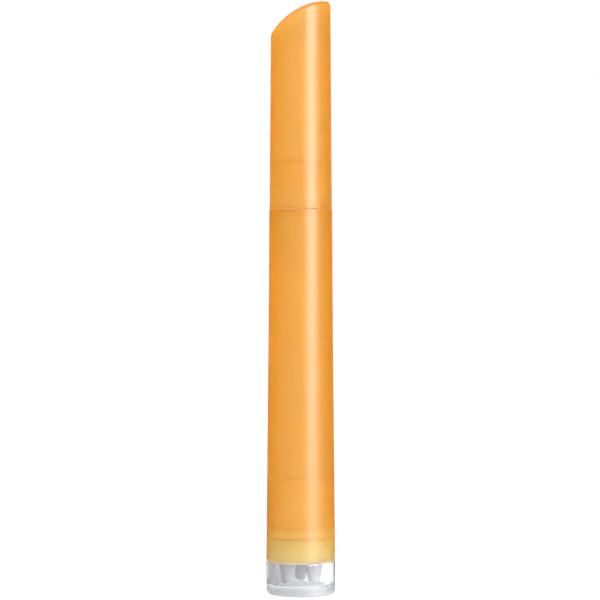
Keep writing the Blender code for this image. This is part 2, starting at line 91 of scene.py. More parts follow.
# %% A class for sockets, and a method for nodes
class Flow:
    """What flows out of one socket: numbers with the usual signs, or a colour or vector."""

    def __init__(self, tree, socket=None):
        self.tree = tree
        self.socket = socket

    def node(self, kind, settings=None, inputs=None, output=0):
        """Adds a node: its settings first, then the values or links of its sockets."""
        made = self.tree.nodes.new(kind)
        for name, value in (settings or {}).items():
            setattr(made, name, value)
        for name, value in (inputs or {}).items():
            if isinstance(value, Flow):
                self.tree.links.new(value.socket, made.inputs[name])
            else:
                made.inputs[name].default_value = value
        return Flow(self.tree, made.outputs[output])

    def maths(self, operation, *values):
        return self.node("ShaderNodeMath", {"operation": operation}, dict(enumerate(values)))

    def __add__(self, other):
        return self.maths("ADD", self, other)

    __radd__ = __add__

    def __sub__(self, other):
        return self.maths("SUBTRACT", self, other)

    def __rsub__(self, other):
        return self.maths("SUBTRACT", other, self)

    def __mul__(self, other):
        return self.maths("MULTIPLY", self, other)

    __rmul__ = __mul__

    def between(self, low, high, start=0.0, end=1.0):
        """Start below low, end above high, and an even, rounded climb from one to the other."""
        return self.node("ShaderNodeMapRange", {"interpolation_type": "SMOOTHSTEP"},
                         {"Value": self, "From Min": low, "From Max": high,
                          "To Min": start, "To Max": end})

    def noise(self, scale, detail=2.0, roughness=0.5):
        """Cloudy noise from 0 to 1 at this place, with so many blobs to the metre."""
        return self.node("ShaderNodeTexNoise", {}, {"Vector": self, "Scale": scale,
                                                    "Detail": detail, "Roughness": roughness})

    def stretched(self, by):
        """This place, each of its three directions multiplied by a number of its own."""
        return self.node("ShaderNodeVectorMath", {"operation": "MULTIPLY"}, {0: self, 1: by})

    def parts(self):
        """The three numbers of this place or direction."""
        first = self.node("ShaderNodeSeparateXYZ", {}, {0: self})
        return [Flow(self.tree, socket) for socket in first.socket.node.outputs]

    def blend(self, colour, other):
        """A colour that goes from the first to the second as this number goes from 0 to 1."""
        return self.node("ShaderNodeMix", {"data_type": "RGBA"},
                         {0: self, 6: colour, 7: other}, 2)

    def bump(self, strength, depth, under=None):
        """A normal that leans as if this number were a height of up to the depth in metres."""
        inputs = {"Height": self, "Strength": strength, "Distance": depth}
        if under is not None:
            inputs["Normal"] = under
        return self.node("ShaderNodeBump", {}, inputs)


def rgba(red, green, blue):
    """A colour as the eye reads it, from 0 to 1, turned into the light that Blender adds up."""
    seen = np.array([red, green, blue])
    light = np.where(seen <= 0.04045, seen / 12.92, ((seen + 0.055) / 1.055) ** 2.4)
    return (*light.tolist(), 1.0)


print("an orange as light:", [round(value, 3) for value in rgba(0.96, 0.67, 0.31)])

# %% [markdown]
# ## Studio light
#
# The photograph has a pure white ground, an even glow through the orange walls, and one soft
# upright gloss right of the middle. A white tent gives the glow. It is a little brighter on
# the left and behind the pen. A dim strip low on its right darkens the left of the clear
# foot, because a solid clear foot is a lens that shows what lies behind it swapped round.
#
# What the pen mirrors is another matter. In such a studio the sides are dark, which keeps the
# rims of the pen deep in colour. So for mirrored rays the tent is bright in front only, and
# less than half as bright in the one place straight behind the pen. The gloss is a wide
# upright lamp, blurred by the rough coat that mirrors it. A dim lamp on the left reaches
# matte surfaces only.
#
# An image of a studio could light the scene too, but a few numbers are enough here.

# %% The white tent
TENT_LEVEL = 1.12
TENT_AWAY = 0.22
TENT_ACROSS = -0.25
TENT_BEHIND = 0.1
STRIP_LEVEL = 0.35
MIRRORED_FRONT = 1.15
MIRRORED_BACK = 0.02
MIRRORED_BEHIND = 0.4
ON_MATTE = 0.9

# Where each part of the tent fades in or out, as the length of a direction of length 1 along
# one axis: across to the right, away from the camera or upwards.
STRAIGHT_BEHIND = 0.8, 0.97
STRIP_FOOT, STRIP_TOP = (0.01, 0.05), (0.3, 0.5)
STRIP_RIGHT = -0.4, 0.1
SIDES_START, SIDES_END = (-0.5, -0.2), (0.3, 0.6)
FRONT_END = -0.6, 0.0
MIRRORED_GROUND = 0.65, 0.98

tent = bpy.data.worlds.new("white_tent")
bpy.context.scene.world = tent
tent.use_nodes = True
tent.cycles.sampling_method = "NONE"
sky = Flow(tent.node_tree)
across, away, upward = sky.node("ShaderNodeTexCoord").parts()
rays = sky.node("ShaderNodeLightPath").socket.node.outputs
seen, matte, glossy, through = [
    Flow(tent.node_tree, rays[f"Is {kind} Ray"])
    for kind in ("Camera", "Diffuse", "Glossy", "Transmission")]
shining_through = TENT_LEVEL + away * TENT_AWAY + across * TENT_ACROSS
shining_through = shining_through + away.between(*STRAIGHT_BEHIND, 0.0, TENT_BEHIND)
strip = upward.between(*STRIP_FOOT) * upward.between(*STRIP_TOP, 1.0, 0.0)
strip = strip * across.between(*STRIP_RIGHT)
at_sides = strip * away.between(*SIDES_START) * away.between(*SIDES_END, 1.0, 0.0)
at_back = strip * away.between(*SIDES_END)
for share in (at_sides, at_back):
    shining_through = shining_through * (1 - share * (1 - STRIP_LEVEL))
mirrored = away.between(*FRONT_END, MIRRORED_FRONT, MIRRORED_BACK)
mirrored = mirrored + away.between(*MIRRORED_GROUND, 0.0, MIRRORED_BEHIND)
reflected = glossy * (1 - through)
strength = seen + through * shining_through + reflected * mirrored + matte * ON_MATTE
background = tent.node_tree.nodes["Background"]
background.inputs["Color"].default_value = (1.0, 1.0, 1.0, 1.0)
tent.node_tree.links.new(strength.socket, background.inputs["Strength"])
print("tent:", len(tent.node_tree.nodes), "nodes")


# %% The lamps
LAMP_CENTRE = 0.06


def lamp(name, azimuth, distance, width, height, watts, seen_by):
    """A soft rectangle of light that faces the pen's axis from a direction round it.

    Its place is the distance times (sin, -cos) of the azimuth, which is 0 at the camera and
    grows to the right. seen_by names the one kind of ray that meets it.
    """
    turn = math.radians(azimuth)
    light = bpy.data.objects.new(name, bpy.data.lights.new(name, "AREA"))
    light.data.shape = "RECTANGLE"
    light.data.size = width
    light.data.size_y = height
    light.data.energy = watts
    light.location = (distance * math.sin(turn), -distance * math.cos(turn), LAMP_CENTRE)
    light.rotation_euler = (math.pi / 2, 0, turn)
    light.visible_camera = light.visible_transmission = False
    light.visible_diffuse = seen_by == "diffuse"
    light.visible_glossy = seen_by == "glossy"
    bpy.context.scene.collection.objects.link(light)


lamp("gloss_strip", 40.5, 0.6, 0.38, 0.6, 11.4, "glossy")
lamp("soft_front", -25, 0.9, 0.8, 0.8, 3.0, "diffuse")

# %% [markdown]
# ## The floor
#
# The pen stands on plain white board. The board glows white for the camera and for rays that
# come through clear plastic, and a share of it is ordinary matte board, which goes a little
# darker where the pen keeps the light away. That share is the faint shadow under the foot.
# Mirrored in the pen, the board is bright in front and dark from close behind the pen on, as
# the tent is. A grey card lies left of the pen, from before it to behind it. Only rays
# through clear plastic meet the card, and it shades the left of the foot.
#
# The tail cap is what stands on the board, so the board rides on it. Where the tail cap is
# pulled off downwards, the board goes down with it instead of hiding it.
#
# The glowing board isn't aimed at as a lamp: its glow depends on the kind of ray, and such
# aiming would count a part of it as dark.

# %% The floor
FLOOR_HALF, FLOOR_DROP = 8.0, 0.00002
FLOOR_SEEN, FLOOR_BEFORE, FLOOR_BEHIND = 1.2, 1.4, 1.34
CARD_SHADE, BOARD_SHARE = 0.7, 0.2
BOARD_ROUGHNESS, BOARD_GLOSS = 0.7, 0.1
PAPER_BLOBS = 900.0

# Where the board's parts fade in or out, in metres to the right of the pen or behind it.
DARK_BEHIND = 0.0, 0.012
CARD_LEFT, CARD_RIGHT = (-0.06, -0.045), (-0.006, 0.003)
CARD_FRONT, CARD_BACK = (-0.045, -0.02), (0.04, 0.06)
BEFORE_TO_BEHIND = -0.03, 0.02

floor_mesh = bpy.data.meshes.new("floor")
floor_corners = np.array([(-1, -1, 0), (1, -1, 0), (1, 1, 0), (-1, 1, 0)]) * FLOOR_HALF
floor_corners = floor_corners - (0, 0, FLOOR_DROP)
floor_mesh.from_pydata(floor_corners.tolist(), [], [(0, 1, 2, 3)])
floor = bpy.data.objects.new("floor", floor_mesh)
bpy.context.scene.collection.objects.link(floor)
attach(floor, "tail")

board = bpy.data.materials.new("white_board")
board.use_nodes = True
floor_mesh.materials.append(board)
board.cycles.emission_sampling = "NONE"
ground = Flow(board.node_tree)
spot = ground.node("ShaderNodeTexCoord", output="Object")
grain = spot.noise(PAPER_BLOBS)
paper = board.node_tree.nodes["Principled BSDF"]
paper.inputs["Roughness"].default_value = BOARD_ROUGHNESS
paper.inputs["Specular IOR Level"].default_value = BOARD_GLOSS
paper_tint = grain.blend(rgba(0.93, 0.93, 0.93), rgba(0.96, 0.96, 0.96))
board.node_tree.links.new(paper_tint.socket, paper.inputs["Base Color"])
rays = ground.node("ShaderNodeLightPath").socket.node.outputs
seen, glossy, through = [Flow(board.node_tree, rays[f"Is {kind} Ray"])
                         for kind in ("Camera", "Glossy", "Transmission")]
right, back, _ = spot.parts()
card = right.between(*CARD_LEFT) * right.between(*CARD_RIGHT, 1.0, 0.0)
card = card * back.between(*CARD_FRONT) * back.between(*CARD_BACK, 1.0, 0.0)
shining = back.between(*BEFORE_TO_BEHIND, FLOOR_BEFORE, FLOOR_BEHIND) * (1 - card * CARD_SHADE)
level = seen * FLOOR_SEEN + through * shining
reflected = glossy * (1 - through)
behind = back.between(*DARK_BEHIND)
level = level + reflected * behind.between(0.0, 1.0, MIRRORED_FRONT, MIRRORED_BACK)
glow = ground.node("ShaderNodeEmission", {}, {"Strength": level})
lit = seen.maths("MAXIMUM", seen, glossy.maths("MAXIMUM", glossy, through))
surface = ground.node("ShaderNodeMixShader", {}, {
    0: lit * (1 - BOARD_SHARE), 1: Flow(board.node_tree, paper.outputs[0]), 2: glow})
board.node_tree.links.new(surface.socket,
                          board.node_tree.nodes["Material Output"].inputs["Surface"])
print("floor:", 2 * FLOOR_HALF, "m across")

# %% [markdown]
# ## Turned shapes
#
# Nearly every piece of a pen is round, so its shape is one outline of corners, each a radius
# and a height, carried once round the axis. Blender's Screw modifier would do that as well. A
# grid of numbers, one column for each direction and one ring for each outline point, shows
# plainly what happens, and later lets single rings be bent, as on the cap's crown.
#
# Small moulded edges are never sharp. Each corner may have a rounding, drawn as a true arc.

# %% Outlines with rounded corners
ARC_STEPS = 6
LONGEST_STEP = 2.5


def arc(start, corner, end, weight, steps=ARC_STEPS):
    """Points on the curve that leaves start towards corner and arrives at end from it.

    With s from 0 to 1, each point is the mean of start, corner and end, weighted with
    (1 - s) squared, 2 * weight * s * (1 - s) and s squared. A weight equal to the cosine of
    half the turn makes it a part of a circle.
    """
    share = np.linspace(0.0, 1.0, steps + 1).reshape(-1, *[1] * np.ndim(start))
    keep, pull, give = (1 - share) ** 2, 2 * weight * share * (1 - share), share ** 2
    return (keep * start + pull * corner + give * end) / (keep + pull + give)


def outline(corners):
    """Outline points for corners of (radius, height, rounding), in millimetres.

    A rounding reaches along both sides of its corner by its radius times the tangent of
    half the turn there, and at most half of the shorter side.
    """
    spots = np.array([corner[:2] for corner in corners], float)
    points = []
    for index, corner in enumerate(corners):
        here = spots[index]
        if corner[2] == 0:
            points.append(here[None])
            continue
        before = spots[index - 1] - here
        after = spots[(index + 1) % len(spots)] - here
        lengths = np.linalg.norm(before), np.linalg.norm(after)
        half_turn = (math.pi - math.acos(before @ after / (lengths[0] * lengths[1]))) / 2
        reach = min(corner[2] * math.tan(half_turn), lengths[0] / 2, lengths[1] / 2)
        start, end = here + before / lengths[0] * reach, here + after / lengths[1] * reach
        points.append(arc(start, here, end, math.cos(half_turn)))
    return np.concatenate(points)


def filled_in(points, closed):
    """The same outline with extra points on its long straight stretches."""
    ends = np.roll(points, -1, axis=0) if closed else points[1:]
    parts = []
    for start, end in zip(points, ends):
        count = max(1, math.ceil(np.linalg.norm(end - start) / LONGEST_STEP))
        share = np.arange(count)[:, None] / count
        parts.append(start + (end - start) * share)
    return np.concatenate(parts if closed else parts + [points[-1:]])


square = outline([(1, 0, 0.2), (2, 0, 0.2), (2, 1, 0.2), (1, 1, 0.2)])
print("a rounded square has", len(square), "points")

# %% [markdown]
# ## From rings to a mesh
#
# A piece is a stack of rings. Neighbouring rings are joined by a band of four-sided faces. A
# stack either closes on itself, like the wall of a tube, or starts and ends in a single point
# on the axis, a pole, where the band is made of triangles. Both are closed, with no seam, and
# their faces look outwards when the outline runs from the base outwards and up.

# %% Rings, faces and finished pieces
SHELL_COLUMNS, CORE_COLUMNS, NIB_COLUMNS = 128, 96, 64
SHARP_ANGLE = math.radians(32)


def directions(columns):
    """Even directions round the axis, one for each column, the first towards +X."""
    return np.arange(columns) * (math.tau / columns)


def round_rings(points, columns):
    """The grid of a turned outline: radius times (cos, sin) of each direction, and height."""
    turn = directions(columns)[None, :]
    radius, height = points[:, :1], points[:, 1:]
    return np.stack([radius * np.cos(turn), radius * np.sin(turn),
                     np.broadcast_to(height, (len(points), columns))], axis=-1)


def bands(ring_count, columns, closed):
    """Faces between neighbouring rings, as numbers of grid points."""
    column = np.arange(columns)
    after = (column + 1) % columns
    lower = np.arange(ring_count if closed else ring_count - 1)[:, None] * columns
    upper = (lower + columns) % (ring_count * columns)
    return np.stack([lower + column, lower + after, upper + after, upper + column],
                    axis=-1).reshape(-1, 4)


def skin_over(rings, poles=None):
    """Points and faces of a closed body over rings, with or without a pole at each end."""
    ring_count, columns, _ = rings.shape
    points = rings.reshape(-1, 3)
    faces = bands(ring_count, columns, poles is None).tolist()
    if poles is not None:
        first, last = len(points), len(points) + 1
        points = np.concatenate([points, poles])
        column = np.arange(columns)
        after = (column + 1) % columns
        top = (ring_count - 1) * columns
        faces += np.stack([after, column, np.full(columns, first)], axis=-1).tolist()
        faces += np.stack([top + column, top + after, np.full(columns, last)], axis=-1).tolist()
    return points, faces


def spots_of(mesh):
    """The places of a mesh's points in millimetres, one row for each."""
    spots = np.empty(len(mesh.vertices) * 3)
    mesh.vertices.foreach_get("co", spots)
    return spots.reshape(-1, 3) / MM


def space_inside(mesh):
    """The space a mesh encloses in cubic millimetres: a sixth of the sum of its triangles'
    triple products. It is above zero only where the faces look outwards."""
    mesh.calc_loop_triangles()
    picks = np.empty(len(mesh.loop_triangles) * 3, np.int32)
    mesh.loop_triangles.foreach_get("vertices", picks)
    first, second, third = np.moveaxis(spots_of(mesh)[picks.reshape(-1, 3)], 1, 0)
    return (first * np.cross(second, third)).sum() / 6


def add_piece(name, points, faces, material, body, slot):
    """A smooth object of these points, in millimetres, that rides on a body of the pen."""
    mesh = bpy.data.meshes.new(name)
    mesh.from_pydata((points * MM).tolist(), [], faces)
    mesh.shade_smooth()
    mesh.set_sharp_from_angle(angle=SHARP_ANGLE)
    mesh.materials.append(material)
    piece = bpy.data.objects.new(name, mesh)
    bpy.context.scene.collection.objects.link(piece)
    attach(piece, body)
    return piece


def stand_for(piece, node):
    """Shows the piece in place of its CAD node, and prints how the two boxes agree."""
    low, high = (np.array(corner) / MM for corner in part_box(node))
    spots = spots_of(piece.data)
    off = max(np.abs(spots.min(0) - low).max(), np.abs(spots.max(0) - high).max())
    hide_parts(node)
    print(f"{piece.name}: {len(piece.data.polygons)} faces, "
          f"{space_inside(piece.data):.0f} mm3, box within {off:.3f} mm of {node}")


def turned_piece(name, corners, base, material, body, slot, columns=SHELL_COLUMNS):
    """A turned body whose corners are measured up from base. It may start and end on the axis."""
    points = outline(corners)
    has_poles = corners[0][0] == 0
    points = filled_in(points, not has_poles) + (0, base)
    poles = None
    if has_poles:
        poles = np.array([(0, 0, points[0, 1]), (0, 0, points[-1, 1])])
        points = points[1:-1]
    shape = skin_over(round_rings(points, columns), poles)
    return add_piece(name, *shape, material, body, slot)


print("columns:", SHELL_COLUMNS, CORE_COLUMNS, NIB_COLUMNS)

# %% [markdown]
# ## Sizes
#
# These are the sizes that the solids were made to, apart from the rounding of the crown's
# edge, which is smaller here. Most heights follow from each other, as on a maker's drawing: a
# piece starts a small seat gap above what carries it, and fits inside its neighbour with a
# small clearance all round.

# %% Sizes in millimetres
SEAT_GAP = 0.15
CLEARANCE = 0.1
EDGE = 0.12

FOOT_RADIUS, FOOT_HEIGHT, FOOT_FLOOR = 6.85, 6.6, 2.0
SPIGOT_RADIUS, SPIGOT_WALL, SPIGOT_LENGTH = 5.83, 0.9, 4.5
SPIGOT_TOP = FOOT_HEIGHT + SPIGOT_LENGTH

BARREL_BASE, BARREL_LENGTH, BARREL_GRIP = FOOT_HEIGHT + SEAT_GAP, 70.0, 53.5
BARREL_TAIL_RADIUS, BARREL_GRIP_RADIUS, BARREL_FRONT_RADIUS = 6.88, 6.37, 6.29
BARREL_WALL, TAIL_BORE = 1.25, 5.93

NIB_LENGTH, NIB_RADIUS, NIB_TAPER, NIB_POINT_RADIUS = 20.0, 1.75, 4.2, 0.95
NIB_SLOPE = math.tan(math.radians(24))
SPARE_NIB_REAR, SPARE_NIB_PITCH = 22.2, 2.86
NIB_HOLE = NIB_RADIUS + CLEARANCE

HOLDER_BASE, HOLDER_TOP, FLANGE_HEIGHT = SPIGOT_TOP + SEAT_GAP, 23.2, 1.8
FIBRE_BASE = HOLDER_TOP + SEAT_GAP

SEAT = BARREL_BASE + BARREL_LENGTH + SEAT_GAP
WEB, COLLAR_HEIGHT, SEAL_RADIUS, SEAL_HEIGHT = 1.4, 4.0, 4.2, 2.4
FIBRE_TOP, FIBRE_HOLE = SEAT - WEB - SEAT_GAP, 3.0
NIB_REAR = FIBRE_TOP - FIBRE_HOLE + CLEARANCE

CAP_LENGTH, CAP_RIM_RADIUS, CAP_DRAFT, CAP_WALL = 41.5, 6.23, 0.3, 0.85
LEDGE_HEIGHT, UPPER_WALL, CROWN_WALL, CROWN_EDGE = 9.0, 1.15, 1.1, 0.95


def barrel_radius(height):
    """Outer radius of the barrel at a height above its tail: two even tapers."""
    return np.interp(height, [0, BARREL_GRIP, BARREL_LENGTH],
                     [BARREL_TAIL_RADIUS, BARREL_GRIP_RADIUS, BARREL_FRONT_RADIUS])


def cap_radius(height):
    """Outer radius of the cap at a height above its rim, which loses its draft evenly."""
    return CAP_RIM_RADIUS - CAP_DRAFT * height / CAP_LENGTH


print("seam between barrel and cap at", round(SEAT, 2), "mm")

# %% [markdown]
# ## Frosted orange plastic
#
# Barrel and cap are moulded from clear plastic with an orange dye, and the mould's inside was
# etched, which leaves a fine frost. Light goes in, loses its blue and some of its green on
# the way, meets the white core of the pen and comes back out. So the rims, where the way
# through the wall is longest, are deep orange, and the middle is pale.
#
# A flat orange paint could be mixed to match the middle, but it would miss the glow and the
# deep rims. This finish is a rough glass with a dye inside, and the wall of each piece is a
# closed body, so the dye acts by real depth. About a third of it is milky and spreads the
# light, as thin paper does. A rough coat with a fine grain carries the satin gloss.
#
# The pen's tone also changes with height, by painted light and shade. A painted glow lightens a
# pale band at the tail, on top of the thinner wall there, and paler stretches low on the barrel
# and above the liner's band. Painted shade deepens thin rings beside the band and zones on both
# sides of the seam.

# %% A start for every finish
def finish(name, colour, roughness):
    """A new material: its own Principled shader, and the place on the piece in metres."""
    material = bpy.data.materials.new(name)
    material.use_nodes = True
    shader = material.node_tree.nodes["Principled BSDF"]
    shader.inputs["Base Color"].default_value = colour
    shader.inputs["Roughness"].default_value = roughness
    material.diffuse_color = colour
    place = Flow(material.node_tree).node("ShaderNodeTexCoord", output="Object")
    return material, shader, place


def feed(shader, **flows):
    """Links flows to the shader's sockets; an underscore in a name stands for a space."""
    for name, flow in flows.items():
        flow.tree.links.new(flow.socket, shader.inputs[name.replace("_", " ")])


def set_plain(shader, **values):
    """Sets sockets of the shader that stay the same all over the piece."""
    for name, value in values.items():
        shader.inputs[name.replace("_", " ")].default_value = value


def dye(place, colour, density):
    """Fills the closed body with a dye, by how much of each colour a metre of it takes."""
    inside = place.node("ShaderNodeVolumeAbsorption", {}, {"Color": colour, "Density": density})
    place.tree.links.new(inside.socket, place.tree.nodes["Material Output"].inputs["Volume"])


def mix_in(place, shader, share, kind, colour):
    """Shows this share of another shader, of one colour, in place of the finish's own."""
    other = place.node(kind, {}, {"Color": colour})
    both = place.node("ShaderNodeMixShader", {}, {
        0: share, 1: Flow(place.tree, shader.outputs[0]), 2: other})
    place.tree.links.new(both.socket, place.tree.nodes["Material Output"].inputs["Surface"])


# %% Frosted orange
FROST_BLOBS, CLOUD_BLOBS, SPECK_BLOBS = 4200.0, 170.0, 4600.0
FROST_DEPTH = CLOUD_DEPTH = 0.00003
SCRATCH_STRETCH = (2600.0, 2600.0, 90.0)
WORN_NEAR, WORN_FAR = 0.2, 2.2
ORANGE_TINTS = rgba(0.943, 0.882, 0.74), rgba(0.95, 0.892, 0.75)
FROST_TINT = rgba(0.959, 0.907, 0.774)
# The next three tints are painted light: two paler ones for a painted glow, and one deeper orange
# for painted shade.
PAINTED_GLOW_TINT = rgba(0.967, 0.925, 0.85)
GLOW_BAND_TINT = rgba(0.985, 0.998, 0.998)
PAINTED_SHADE_TINT = rgba(0.967, 0.85, 0.62)
GLOW_BAND_DEPTH, LINE_FADE = 4.4, 0.1
GLOSS_BELOW, GLOSS_ABOVE, GLOSS_HEIGHTS = 0.98, 0.77, (10, 65)
SPECK_GLOSS = 1.2
ORANGE_DYE, ORANGE_DENSITY = (0.999, 0.77, 0.01, 1.0), 820.0
MILK_TINT, MILKY_SHARE = rgba(0.93, 0.935, 0.92), 0.37


def frosted_orange(name, worn_edges, band_top, shade_zones, glow_heights):
    """Etched, dyed plastic. All heights are millimetres up the pen.

    Hands polish it round the worn edges. A pale band of painted glow ends at band_top. Each
    deep zone of painted shade has a start, an end, the way over which it fades in, and its
    share of a deeper orange. The paler stretch, a painted glow, fades in between the first two
    of its heights and out between the others.
    """
    material, shader, place = finish(name, rgba(0.97, 0.93, 0.915), 0.42)
    set_plain(shader, IOR=1.4, Transmission_Weight=1.0, Coat_Roughness=0.32, Coat_IOR=1.5)
    frost = place.noise(FROST_BLOBS, 3.0, 0.6)
    clouds = place.noise(CLOUD_BLOBS, 3.0)
    scratches = place.stretched(SCRATCH_STRETCH).noise(1.0, 2.0).between(0.66, 0.74)
    height = place.parts()[2] * (1 / MM)
    polish = 0.0
    for edge in worn_edges:
        near = height.between(edge - WORN_FAR, edge - WORN_NEAR)
        past = height.between(edge + WORN_NEAR, edge + WORN_FAR)
        polish = near * (1 - past) + polish
    roughness = 0.52 + (frost - 0.5) * 0.16 + (clouds - 0.5) * 0.05 + scratches * 0.06
    roughness = roughness - polish * clouds * 0.09
    tint = clouds.between(0.3, 0.7).blend(*ORANGE_TINTS)
    tint = (frost.between(0.35, 0.65) * 0.5).blend(tint, FROST_TINT)
    # Painted glow: a paler tint over a stretch of height, standing in for light that comes
    # through the wall.
    fades_in, full, fades_out, gone = glow_heights
    painted_glow = height.between(fades_in, full) * height.between(fades_out, gone, 1.0, 0.0)
    tint = painted_glow.blend(tint, PAINTED_GLOW_TINT)
    # Painted glow: the pale band whitens the tint at the tail, standing in for light that comes
    # up through the clear foot.
    glow_band = height.between(band_top - LINE_FADE, band_top + LINE_FADE, 1.0, 0.0)
    glow_band = glow_band * height.between(band_top - GLOW_BAND_DEPTH, band_top, 1.0, 0.6)
    tint = glow_band.blend(tint, GLOW_BAND_TINT)
    # Painted shade: each deep zone turns the tint a deeper orange.
    for start, end, fade, share in shade_zones:
        shade_zone = height.between(start, start + fade)
        shade_zone = shade_zone * height.between(end, end + LINE_FADE, share, 0.0)
        tint = shade_zone.blend(tint, PAINTED_SHADE_TINT)
    wavy = clouds.bump(0.12, CLOUD_DEPTH)
    normal = (frost + scratches * 0.25).bump(0.5, FROST_DEPTH, wavy)
    gloss = height.between(*GLOSS_HEIGHTS, GLOSS_BELOW, GLOSS_ABOVE)
    gloss = gloss + (place.noise(SPECK_BLOBS, 1.0) - 0.5) * SPECK_GLOSS
    feed(shader, Base_Color=tint, Roughness=roughness, Normal=normal, Coat_Weight=gloss)
    dye(place, ORANGE_DYE, ORANGE_DENSITY)
    milky = MILKY_SHARE + (frost - 0.5) * 0.3
    mix_in(place, shader, milky, "ShaderNodeBsdfTranslucent", MILK_TINT)
    return material


# The pale band of painted glow ends just above the spigot. Each row of a list of deep zones of
# painted shade: start, end, the way over which it fades in, and share.
GLOW_BAND_TOP = SPIGOT_TOP + 0.2
NO_GLOW_BAND = 0.0
BARREL_SHADE_ZONES = [
    (SEAT - 3, SEAT, 3, 1.0),
    (SPIGOT_TOP + 0.15, SPIGOT_TOP + 0.6, LINE_FADE, 1.0),
    (SPIGOT_TOP - 1.0, SPIGOT_TOP - 0.75, LINE_FADE, 0.3),
    (SPIGOT_TOP + 1.6, SPIGOT_TOP + 1.9, LINE_FADE, 0.5),
]
CAP_SHADE_ZONES = [(SEAT - 1, SEAT + LEDGE_HEIGHT, LINE_FADE, 0.85)]
# The paler stretches of painted glow: where each fades in, and where it fades out.
BARREL_GLOW_HEIGHTS = 0, 1, SPIGOT_TOP, 38
CAP_GLOW_HEIGHTS = SEAT + 8.5, SEAT + 11, 107, 114
barrel_finish = frosted_orange("frosted_orange_barrel", [BARREL_BASE, SEAT],
                               GLOW_BAND_TOP, BARREL_SHADE_ZONES, BARREL_GLOW_HEIGHTS)
cap_finish = frosted_orange("frosted_orange_cap", [SEAT], NO_GLOW_BAND, CAP_SHADE_ZONES, CAP_GLOW_HEIGHTS)
print("frosted orange:", len(barrel_finish.node_tree.nodes), "nodes")

# %% [markdown]
# ## The barrel
#
# A long tube with a slight taper, 1.25 mm thick. Its tail is bored wider, for the spigot of
# the tail cap and the flange of the nib holder, and that bore opens evenly towards the end,
# so the wall is thinner there and shines paler, and a painted glow in the finish makes it
# paler still. The print that runs up the real barrel is left off, and its place stays bare.

# %% Barrel
BORE_OPENS = 0.3
TAIL_ROUND = 0.3
shoulder = HOLDER_BASE + FLANGE_HEIGHT + SEAT_GAP - BARREL_BASE
barrel_corners = [
    (TAIL_BORE + BORE_OPENS, 0, EDGE),
    (BARREL_TAIL_RADIUS, 0, TAIL_ROUND),
    (BARREL_GRIP_RADIUS, BARREL_GRIP, 0),
    (BARREL_FRONT_RADIUS, BARREL_LENGTH, EDGE),
    (BARREL_FRONT_RADIUS - BARREL_WALL, BARREL_LENGTH, EDGE),
    (BARREL_GRIP_RADIUS - BARREL_WALL, BARREL_GRIP, 0),
    (barrel_radius(shoulder) - BARREL_WALL, shoulder, EDGE),
    (TAIL_BORE, shoulder, 0),
]
barrel = turned_piece("barrel_tube", barrel_corners, BARREL_BASE, barrel_finish,
                      "pen", "frosted_orange_barrel")
stand_for(barrel, "barrel")

# %% [markdown]
# ## The cap and its slanted crown
#
# The cap is a tube too, but its top is cut at a slant along a wide arc, level at the high
# side and steep at the low side, with a soft edge all round. The edge is not round in plan
# only: at each direction the side meets the arc at its own height and angle. So the crown is
# made ring by ring. Each ring is a whole array of points, one for each direction.
#
# A Boolean cut with a bevel would leave long thin faces here; the rings stay even. The
# crown's skin is thinner than the solid's, so that it shines as pale as in the photograph,
# and the rim hangs a touch lower, so that the seam is a thin line.

# %% The crown's arc
TOP_RADIUS = CAP_RIM_RADIUS - CAP_DRAFT
ARC_REACH = 1.25
ARC_X = TOP_RADIUS * ARC_REACH
ARC_DROP = 6.65
ARC_RADIUS = ((ARC_X + TOP_RADIUS) ** 2 + ARC_DROP ** 2) / (2 * ARC_DROP)
MEETING_PASSES = 6


def slant_height(x, inset):
    """Height of the arc over x: its centre's height plus the root of R squared less the
    square of the way to the centre. inset draws the arc in by the wall."""
    return CAP_LENGTH - ARC_RADIUS + np.sqrt((ARC_RADIUS - inset) ** 2 - (x - ARC_X) ** 2)


def slant_slope(x):
    """Rise of the outer arc for each millimetre along X."""
    return (ARC_X - x) / np.sqrt(ARC_RADIUS ** 2 - (x - ARC_X) ** 2)


def side_meets_arc(turn, wall, inset):
    """Radius and height, for each direction, where the side one wall in meets the arc.
    Each pass puts the height into the radius and the radius back into the height."""
    height = np.full_like(turn, CAP_LENGTH)
    for _ in range(MEETING_PASSES):
        height = slant_height((cap_radius(height) - wall) * np.cos(turn), inset)
    return cap_radius(height) - wall, height


def spokes(turn, radius, height):
    """A ring of points at these directions, radii and heights."""
    return np.stack([radius * np.cos(turn), radius * np.sin(turn),
                     np.broadcast_to(height, turn.shape)], axis=-1)


print("crown: arc radius", round(ARC_RADIUS, 2), "mm")

# %% Cap
CROWN_RINGS = 14
ROOF_RINGS = 10
ROOF_ROUND, CROWN_SKIN = 1.0, 0.65
RIM_BASE, PLAIN_HEIGHT = -0.1, 26.0


def soft_edge(turn, wall, inset, rounding, steps):
    """Rings over the edge between side and arc, rounded in the plane of each direction.

    It reaches down the side and along the arc by the rounding times the tangent of half the
    turn between them, so it is wide on the high side and fades out on the low side.
    """
    radius, height = side_meets_arc(turn, wall, inset)
    lean = np.arctan(slant_slope(radius * np.cos(turn)) * np.cos(turn))
    reach = rounding * np.tan((math.pi / 2 + lean) / 2)
    inner = radius - reach * np.cos(lean)
    start = np.stack([cap_radius(height - reach) - wall, height - reach])
    corner = np.stack([radius, height])
    end = np.stack([inner, slant_height(inner * np.cos(turn), inset)])
    return [spokes(turn, *point) for point in arc(start, corner, end, 1.0, steps)], inner


def crown_rings(turn, radius, inset, count):
    """Rings on the arc, from one radius in each direction in towards the middle."""
    shares = np.linspace(1.0, 0.0, count + 1)[1:-1]
    return [spokes(turn, radius * share, slant_height(radius * share * np.cos(turn), inset))
            for share in shares]


